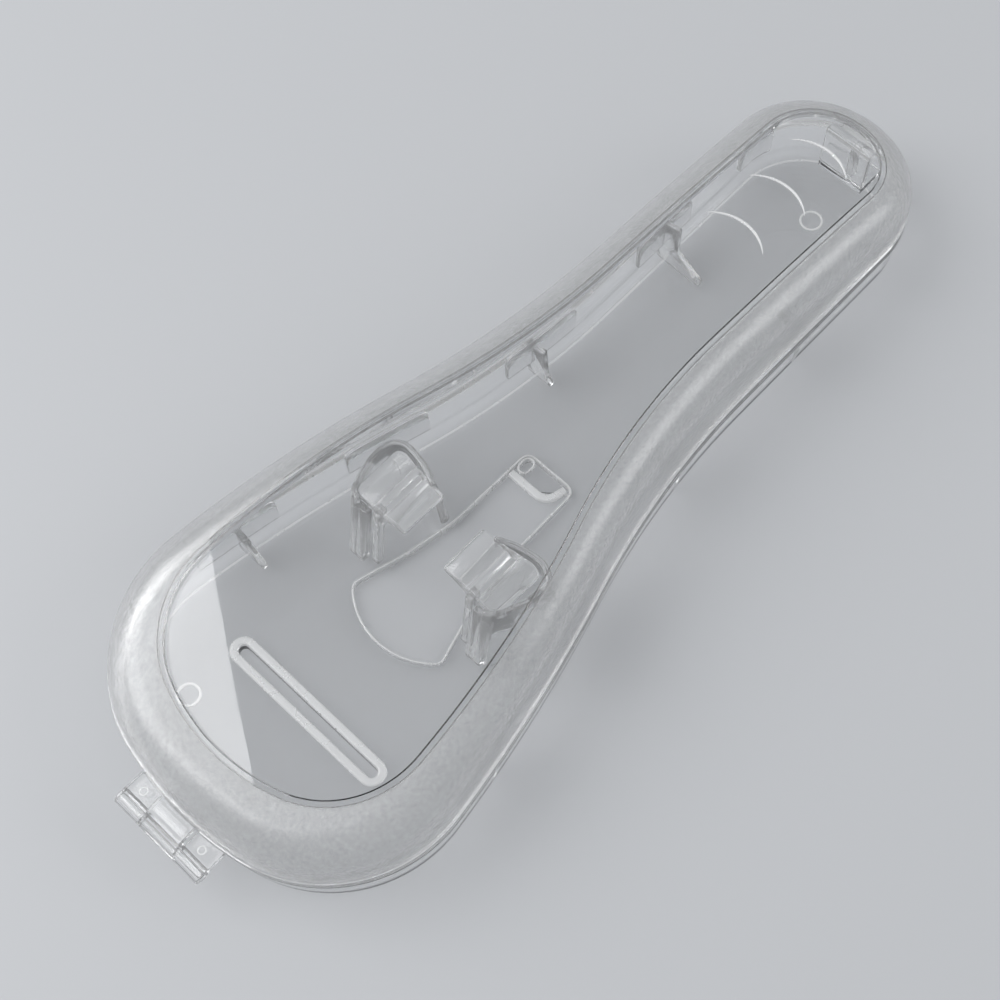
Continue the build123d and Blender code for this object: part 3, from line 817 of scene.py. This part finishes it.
def ridge(x):
    """Crescent on the crown: an arc whose width and height swell as a sine."""
    share = np.linspace(0, 1, 40)
    angles = np.radians(-RIDGE_ANGLE + 2 * RIDGE_ANGLE * share)
    out = np.stack([np.cos(angles), np.sin(angles)], 1)
    path = RIDGE_RADIUS * out + (x + RIDGE_CENTRE[0], RIDGE_CENTRE[1])
    swell = np.sin(math.pi * share) ** RIDGE_SWELL
    ground = crown_height(path[:, 0]) + RIDGE_LIFT
    top = ground + RIDGE_RISE[0] + RIDGE_RISE[1] * swell
    return strip(path, out, RIDGE_WIDTH[0] + RIDGE_WIDTH[1] * swell, foot=ground, top=top, edge=0.2)


# The crescents take the whiter plastic, a painted highlight on the ridges.
for number, x in enumerate(RIDGES_X, 1):
    mesh_piece(f"thumb_crescent_{number}", ridge(x), "lid", [f"thumb_ridge_{number}"], PAINTED_HIGHLIGHT)

# %% [markdown]
# Fins, legs, hooks and hinge lugs are flat plates. A Bevel modifier rounds a
# plate, but can overlap itself at sharp corners. So a plate is its outline,
# repeated across its thickness, with the first and last repeats drawn in, and
# every edge comes out rounded, as moulded plastic does.

# %% Plates with rounded edges
SIDEWAYS = (ALONG, UP, -ACROSS)
LENGTHWISE = (ACROSS, UP, ALONG)


def plate(corners, cut, low, high, edge, axes, rows=2, hole=None):
    """Outline in the plane of the first two axes, thick along the third.

    Layers near both faces are inset by edge(1 - sin t) and lie edge(1 - cos t)
    inside the face, so the rim is a quarter circle. A hole goes through."""
    loop = rounded_loop(corners, cut)
    t = np.linspace(0, math.pi / 2, 4)
    inset, rise = edge * (1 - np.sin(t)), edge * (1 - np.cos(t))
    inset = np.concatenate([inset, np.zeros(rows - 2), inset[::-1]])
    between = np.linspace(low + edge, high - edge, rows)[1:-1]
    depth = np.concatenate([low + rise, between, (high - rise)[::-1]])
    plan = loop[None] - loop_normals(loop)[None] * inset[:, None, None]
    grid = placed(plan, depth[:, None, None], axes)
    if hole is not None:
        return with_flat_ends(grid, ((plan[0], low), (plan[-1], high)), [hole], axes)
    return grid.reshape(-1, 3), tube_faces(*grid.shape[:2], caps=True)


# %% [markdown]
# Three pairs of fins stand across the base and hold the razor's handle off the
# wall. Each pair is one profile, drawn as seen along the case and mirrored for
# the other side. Their outer ends run into the wall, as in the mould, so that
# no gap shows.

# %% Support fins
FIN_HALF = 0.6
FINS = {
    "wide": (-47.5, (
        (30.4, 1.52), (30.4, 5.6), (30.2, 6.0), (30.1, 9.8),
        (29.6, 9.8), (26.0, 6.2), (24.4, 3.0), (23.6, 1.52),
    )),
    "neck": (12.3, (
        (17.8, 1.52), (17.8, 5.6), (16.9, 6.0), (16.9, 10.8), (13.2, 12.2), (12.7, 4.0), (11.4, 1.52),
    )),
    "handle": (46.2, (
        (16.6, 1.52), (16.6, 5.6), (15.7, 6.0), (15.6, 13.2),
        (11.5, 14.2), (11.5, 6.7), (5.6, 3.0), (5.6, 1.52),
    )),
}
for name, (x, profile) in FINS.items():
    for side, sign in SIDES:
        corners = [(sign * y, z) for y, z in profile]
        fin = plate(corners, cut=0.7, low=x - FIN_HALF, high=x + FIN_HALF, edge=0.3, axes=LENGTHWISE)
        mesh_piece(f"fin_{name}_{side}_plate", fin, "base", [f"fin_{name}_{side}"], SATIN)

# %% [markdown]
# Two clips grip the razor's neck. Each has a thin wall bent into an arch, which
# opens toward the middle of the case. The wall could be an extruded curve, but
# a pointed opening is cut from its foot, and it stands a little astride. A
# strip does both: its foot rises in the opening, and its points then lean away
# from the clip's middle, the more the lower they lie.

# %% The clips' arched shells
SHELL_WIDTH = 1.2
SHELL_LOOP = ((-32.6, 14.6), (-31.4, 16.5), (-28.9, 17.8), (-25.2, 18.9), (-22.2, 19.0), (-20.2, 18.2),
              (-19.0, 16.2), (-18.9, 13.9), (-19.6, 10.4), (-21.1, 6.7))
SHELL_END, SHELL_TAPER = 0.4, 1.6
BACK_Y, BACK_DEPTH, BACK_DROP = 15.0, 3.0, 0.8
CLIP_TOP_Z = 20.0
OPENING_X, OPENING_HALF, OPENING_Z, OPENING_SLOPE = -24.8, 3.0, 10, 1.2
LEAN_X, LEAN_BY = (-31.0, -26.0, -23.0, -20.9), (-3.0, -0.6, 0.6, 2.0)


def curve(knots, count):
    """Smooth line through knots (Catmull-Rom), at even distances."""
    p = np.array(knots, float)
    p = np.concatenate([2 * p[:1] - p[1:2], p, 2 * p[-1:] - p[-2:-1]])
    s = np.linspace(0, 1, 12, endpoint=False)[None, :, None]
    a, b, c, d = (p[k : len(p) - 3 + k][:, None] for k in range(4))
    line = b + 0.5 * s * (c - a + s * (2 * a - 5 * b + 4 * c - d + s * (3 * (b - c) + d - a)))
    line = np.concatenate([line.reshape(-1, 2), p[-2:-1]])
    walk = walk_along(line)
    marks = np.linspace(0, walk[-1], count)
    return points_at(marks, walk, line), marks


def side_normals(path, turn):
    """Unit normals along an open path: the chord turned left (1) or right (-1)."""
    chord = np.gradient(path, axis=0)
    out = np.stack([-turn * chord[:, 1], turn * chord[:, 0]], 1)
    return out / np.linalg.norm(out, axis=1, keepdims=True)


def spread_out(points):
    """Lean the clip's two ends apart, in proportion to the depth below its top."""
    lean = np.interp(points[:, 0], LEAN_X, LEAN_BY)
    points[:, 0] += lean * (CLIP_TOP_Z - points[:, 2]) / (CLIP_TOP_Z - FLOOR_Z)
    return points


def clip_shell(sign):
    """Arched wall. Its top drops as a square toward the back, and its two ends
    are rounded."""
    path, marks = curve(SHELL_LOOP, 150)
    out = side_normals(path, 1)
    path = path - out * SHELL_WIDTH / 2
    pull = end_round(np.minimum(marks, marks[-1] - marks), SHELL_END)
    away = np.abs(path[:, 0] - OPENING_X)
    opening = OPENING_Z + OPENING_SLOPE * (OPENING_HALF - away)
    foot = np.where(away < OPENING_HALF, opening, FLOOR_Z + GAP)
    top = CLIP_TOP_Z - pull - BACK_DROP * np.clip((path[:, 1] - BACK_Y) / BACK_DEPTH, 0, 1) ** 2
    mirror = np.array([1, sign])
    width = SHELL_WIDTH - SHELL_TAPER * pull
    points, faces = strip(path * mirror, out * mirror, width, foot, top, edge=0.55)
    return spread_out(points), faces


# %% [markdown]
# A hooked block closes the top of each shell: the razor's neck is pushed past
# its nose. It is a plate, drawn as seen along the case, whose two ends are
# stretched until they follow the shell's inner face. Two legs hold the shell on
# its hinge side, a plain narrow one and a wide one with moulded grooves.

# %% The clips' hooks and legs
HOOK = ((4.2, 19.6), (6.4, 20.0), (12.0, 20.0), (15.4, 19.5), (16.8, 18.3), (16.2, 17.4), (14.4, 18.0),
        (11.8, 18.2), (11.5, 13.4), (10.2, 13.4), (9.6, 15.8), (8.6, 17.0), (6.6, 18.0), (4.5, 18.4))
HOOK_SPAN = (-31.0, -21.6)
HOOK_Y = (4.2, 9.0, 12.0, 14.5, 16.0, 17.2)
HOOK_HINGE_SIDE = (-31.0, -31.0, -31.2, -31.2, -30.6, -29.0)
HOOK_LATCH_SIDE = (-21.6, -21.4, -20.9, -20.4, -20.6, -21.6)
NARROW_LEG = ((-34.0, 1.52), (-32.3, 1.52), (-30.9, 13.0), (-29.6, 14.6), (-29.4, 18.2), (-31.7, 18.2))
WIDE_LEG = ((-35.4, 1.52), (-33.6, 1.52), (-30.9, 17.2), (-32.4, 17.2))
LEGS = {"narrow": (NARROW_LEG, 10.7, 0.8, 0.0), "wide": (WIDE_LEG, 14.0, 1.8, 0.06)}
GROOVE_SPACING = 1.8


def clip_hook(sign):
    """Hooked plate whose two ends follow the shell's inner face."""
    points, faces = plate([(sign * y, z) for y, z in HOOK], 0.9, *HOOK_SPAN, edge=0.45, axes=LENGTHWISE)
    share = (points[:, 0] - HOOK_SPAN[0]) / (HOOK_SPAN[1] - HOOK_SPAN[0])
    near = np.interp(np.abs(points[:, 1]), HOOK_Y, HOOK_HINGE_SIDE)
    far = np.interp(np.abs(points[:, 1]), HOOK_Y, HOOK_LATCH_SIDE)
    points[:, 0] = near + share * (far - near)
    return points, faces


def clip_leg(corners, y0, y1, grooves):
    """Leaning leg. Grooves of a given depth run up both its faces."""
    points, faces = plate(corners, cut=0.5, low=y0, high=y1, edge=0.3, axes=SIDEWAYS, rows=30)
    wave = (points[:, 1] + (y0 + y1) / 2) / GROOVE_SPACING
    points[:, 0] += grooves * np.cos(2 * math.pi * wave)
    return points, faces


for side, sign in SIDES:
    mesh_piece(f"clip_shell_{side}", clip_shell(sign), "base", [f"clip_wall_{side}"], SATIN, crease=50.0)
    mesh_piece(f"clip_hook_{side}", clip_hook(sign), "base", [f"snap_block_{side}"], SATIN)
    for name, (corners, y, half, grooves) in LEGS.items():
        leg = clip_leg(corners, -sign * y - half, -sign * y + half, grooves)
        mesh_piece(f"clip_strut_{name}_{side}", leg, "base", [f"clip_leg_{name}_{side}"], SATIN)

# %% [markdown]
# The narrow end of the cut-out is bridged by a sunk plate with a hanging hole,
# and by a band that runs across and curls toward one corner. A bevelled curve
# object would have to be made a mesh first, so the band is a strip along a line
# of three parts: a straight run, a curl and a short tail.

# %% Cross band, tip plate and its hanging hole
BAND_START = (-5.25, 5.3)
BAND_CURL = ((-5.25, -0.8), (-4.6, -2.7), (-3.0, -3.6))
BAND_END = (-1.3, -4.1)
BAND_FOOT_Z = 0.2
TIP_PLATE_Z = (0.2, 0.8)


def band_line():
    """Straight run across the tip, then a curl to the near corner."""
    run = np.linspace(BAND_START, BAND_CURL[0], 12)
    tail = np.linspace(BAND_CURL[-1], BAND_END, 6)
    path = np.concatenate([run, arc_through(*BAND_CURL, 10)[1:], tail[1:]])
    return path, side_normals(path, -1)


# The band takes the whiter plastic, a painted highlight on its edges.
curled = strip(*band_line(), width=1.5, foot=BAND_FOOT_Z, top=FLOOR_Z, edge=0.4)
mesh_piece("cross_band_curl", curled, "base", ["cross_band"], PAINTED_HIGHLIGHT)

QUARTER_TURN = np.array([[0, 1], [-1, 0]])
hanging_hole = even_loop(stadium(0, 2.8, 1.7) @ QUARTER_TURN + (-2.6, 4.05), 0.3)
TIP_WEB = ((-4.42, 5.3), (-0.75, 5.3), (-0.75, -5.3), (-1.6, -5.3),
           (-1.9, -3.0), (-3.2, -2.6), (-4.42, -0.8))
web = plate(TIP_WEB, 0.5, *TIP_PLATE_Z, edge=0.1, axes=FLAT, hole=hanging_hole)
mesh_piece("tip_web", web, "base", ["tip_plate"], CLEAR)
# The hole's bead takes the whiter plastic, a painted highlight on its edge.
hole_line = hanging_hole + loop_normals(hanging_hole) * 0.2
rim = bead(hole_line, width=0.4, foot=TIP_PLATE_Z[1] + GAP, top=FLOOR_Z + 0.3, edge=0.18)
mesh_piece("tip_hole_bead", rim, "base", ["tip_hole_rim"], PAINTED_HIGHLIGHT)

# %% [markdown]
# The latch is a springy blade with a hook at its top and a rib on its back. It
# is a body of its own, because it bends inward when the lid opens. Its two
# plates are drawn from the side and could be one outline, but the rib is
# narrower than the blade.

# %% Latch blade and rib
BLADE = ((78.4, 8.0), (79.6, 8.0), (79.6, 16.2), (81.2, 16.2), (81.2, 16.8), (79.6, 18.0), (78.4, 18.0))
RIB = ((79.62, 8.7), (81.2, 8.7), (80.3, 16.0), (79.62, 16.0))
blade = plate(BLADE, cut=0.35, low=-5.0, high=5.0, edge=0.2, axes=SIDEWAYS)
mesh_piece("latch_blade", blade, "latch", ["latch_tongue"], SATIN)
rib = plate(RIB, cut=0.3, low=0.6, high=2.0, edge=0.18, axes=SIDEWAYS)
mesh_piece("latch_rib", rib, "latch", ["latch_gusset"], SATIN)

# %% [markdown]
# The latch stands on a shelf of the base, the lid's catch reaches under its
# hook, and outside the lid a small lip lifts it. All three meet the rounded end
# of the case. A Boolean could trim them, but here their outer points are simply
# stretched until they lie on the outline, moved inward by the wall.

# %% Shelf, catch and thumb lip
END_ZONE_X, END_ZONE_Y = 60, 14
SHELF = ((78.4, -5.0), (85.0, -5.0), (85.0, 5.0), (78.4, 5.0))
CATCH = ((81.35, 14.7), (81.9, 14.6), (85.0, 14.6), (85.0, 16.0), (81.35, 16.0))
THUMB_LIP = ((86.0, -2.0), (89.5, -2.0), (89.5, 2.0), (86.0, 2.0))
SHELF_INSET, CATCH_INSET = 2.16 + GAP, 1.7


def end_x(y, end, inset):
    """Length coordinate of the case's rounded end at a place across it, on the
    outline moved inward."""
    moved = RIM - RIM_OUT * inset
    some = moved[(moved[:, 0] * end > END_ZONE_X) & (np.abs(moved[:, 1]) < END_ZONE_Y)]
    some = some[np.argsort(some[:, 1])]
    return np.interp(y, some[:, 1], some[:, 0])


def fitted(shape, start, stop, end, inset):
    """Stretch a piece along X beyond a start so that the part drawn at the
    stop lies on the case's rounded end."""
    points, faces = shape
    beyond = np.clip((points[:, 0] - start) / (stop - start), 0, 1)
    points[:, 0] += beyond * (end_x(points[:, 1], end, inset) - stop)
    return points, faces


shelf = plate(SHELF, cut=0.3, low=6.6, high=7.95, edge=0.2, axes=FLAT)
shelf = fitted(shelf, start=79.5, stop=85.0, end=1, inset=SHELF_INSET)
mesh_piece("latch_step", shelf, "base", ["latch_shelf"], CLEAR)
catch = plate(CATCH, cut=0.25, low=-4.0, high=4.0, edge=0.15, axes=SIDEWAYS, rows=20)
catch = fitted(catch, start=82.2, stop=85.0, end=1, inset=CATCH_INSET)
mesh_piece("lid_catch_bar", catch, "lid", ["lid_catch"], SATIN)
points, faces = plate(THUMB_LIP, cut=0.5, low=10.7, high=12.0, edge=0.3, axes=FLAT)
points[:, 0] = np.maximum(points[:, 0], end_x(points[:, 1], 1, -GAP))
mesh_piece("thumb_tab", (points, faces), "lid", ["thumb_lip"], SATIN)

# %% [markdown]
# The hinge is drawn from the side: a round eye with a bore, and a flat lug that
# leads from it to the case. The base has two such lugs, with a small raised
# ring on each. A cylinder joined to a box would leave a crease in the clear
# plastic, so eye and lug are one outline and one plate.

# %% Hinge lugs on the base
EYE = (-91.7, 9.0)
EYE_R = 1.5
BORE_R, PIN_R = 0.66, 0.6
LUG_SPAN = (4.1, 9.75)
LUG_X = -86.4
DIMPLE_X, DIMPLE_R = -88.9, 0.65
bore = circle[::3] * BORE_R + EYE


def eye_arc(first, last, count):
    """Points of the hinge eye's rim between two angles in degrees."""
    angles = np.radians(np.linspace(first, last, count))
    return [(EYE[0] + EYE_R * math.cos(a), EYE[1] + EYE_R * math.sin(a)) for a in angles]


LUG = [(LUG_X, PARTING_Z)] + eye_arc(90, 340.5, 26) + [(LUG_X, 8.5)]
for side, sign in SIDES:
    low, high = sorted(-sign * y for y in LUG_SPAN)
    lug = plate(LUG, cut=0.5, low=low, high=high, edge=0.2, axes=SIDEWAYS, rows=16, hole=bore)
    lug = fitted(lug, start=-89.4, stop=LUG_X, end=-1, inset=-GAP)
    mesh_piece(f"hinge_lug_plate_{side}", lug, "base", [f"hinge_lug_{side}"], SATIN)
    middle = np.array([DIMPLE_X, sign * sum(LUG_SPAN) / 2])
    ring = circle[::2] * DIMPLE_R + middle
    # The ring takes the whiter plastic, a painted highlight.
    dimple = bead(ring, width=0.3, foot=PARTING_Z + GAP, top=PARTING_Z + 0.14, edge=0.06)
    mesh_piece(f"hinge_dimple_{side}", dimple, "base", [], PAINTED_HIGHLIGHT)

# %% [markdown]
# The lid's share of the hinge is a curved strap with the middle eye, and a pin
# runs through all three eyes. A bent box would meet the eye with a corner. So
# each side of the strap is an arc through three points, and both lead into the
# eye's rim in one outline. The pin could be a cylinder primitive, but a round
# plate comes with softened ends.

# %% Hinge strap on the lid, and the pin
over = arc_through((-87.6, 12.6), (-90.877, 11.549), (-93.2, 9.0), 14)
under = arc_through((-90.55, 9.97), (-89.3, 10.72), (-87.8, 10.9), 6)
STRAP = [(LUG_X, 12.6)] + over.tolist() + eye_arc(190, 390, 20) + under.tolist() + [(LUG_X, 10.9)]
strap = plate(STRAP, cut=0.5, low=-3.9, high=3.9, edge=0.2, axes=SIDEWAYS, rows=16, hole=bore)
strap = fitted(strap, start=-89.0, stop=LUG_X, end=-1, inset=-GAP)
mesh_piece("hinge_strap_curve", strap, "lid", ["hinge_strap"], SATIN)
pin = plate(circle[::2] * PIN_R + EYE, cut=0.02, low=-9.55, high=9.55, edge=0.12, axes=SIDEWAYS)
mesh_piece("hinge_pin_rod", pin, "base", ["hinge_pin"], CLEAR)

# %% [markdown]
# The stage is a plain pale floor with one broad lamp above and a weaker one
# from the side, as in a simple product picture. Small bright lamps would burn
# white spots into the gloss, so the main lamp is more than a metre wide, and an
# even world light fills the rest.

# %% Lamps and world light


def area_lamp(name, place, size, power):
    """Rectangular lamp that faces the origin."""
    data = bpy.data.lights.new(name, "AREA")
    data.shape = "RECTANGLE"
    data.size, data.size_y = size
    data.energy = power
    lamp = bpy.data.objects.new(name, data)
    lamp.location = place
    lamp.rotation_euler = (-Vector(place)).to_track_quat("-Z", "Y").to_euler()
    bpy.context.scene.collection.objects.link(lamp)


area_lamp("key_lamp", place=(-0.5, 0.7, 0.9), size=(1.1, 0.9), power=11.0)
area_lamp("side_lamp", place=(0.6, -0.7, 0.6), size=(0.5, 0.5), power=2.0)

WORLD_COLOUR = (0.86, 0.88, 0.9, 1)
WORLD_STRENGTH = 0.52
world = bpy.data.worlds.new("studio")
world.use_nodes = True
background = world.node_tree.nodes["Background"]
background.inputs["Color"].default_value = WORLD_COLOUR
background.inputs["Strength"].default_value = WORLD_STRENGTH
bpy.context.scene.world = world

# %% [markdown]
# The floor is one large square just below the case, so that their faces don't
# coincide. The view transform is Standard, which shows colours about as they
# are written.

# %% Floor and view
FLOOR_SIZE = 20.0
FLOOR_DROP = 0.05
FLOOR_COLOUR = (0.56, 0.57, 0.59, 1)
FLOOR_ROUGHNESS = 0.5


def pale_floor():
    """Large square plane, which is part of the stage and not of the object."""
    data = bpy.data.meshes.new("floor")
    corners = [(-1, -1), (1, -1), (1, 1), (-1, 1)]
    data.from_pydata([(FLOOR_SIZE * x, FLOOR_SIZE * y, 0) for x, y in corners], [], [(0, 1, 2, 3)])
    floor = bpy.data.objects.new("floor", data)
    floor.location.z = CAD_BOX[0][2] - FLOOR_DROP * MM
    material = bpy.data.materials.new("floor_pale")
    material.use_nodes = True
    surface = material.node_tree.nodes["Principled BSDF"]
    surface.inputs["Base Color"].default_value = FLOOR_COLOUR
    surface.inputs["Roughness"].default_value = FLOOR_ROUGHNESS
    data.materials.append(material)
    bpy.context.scene.collection.objects.link(floor)
    return floor


floor = pale_floor()
bpy.context.scene.view_settings.view_transform = "Standard"
print("floor at", round(floor.location.z, 6))
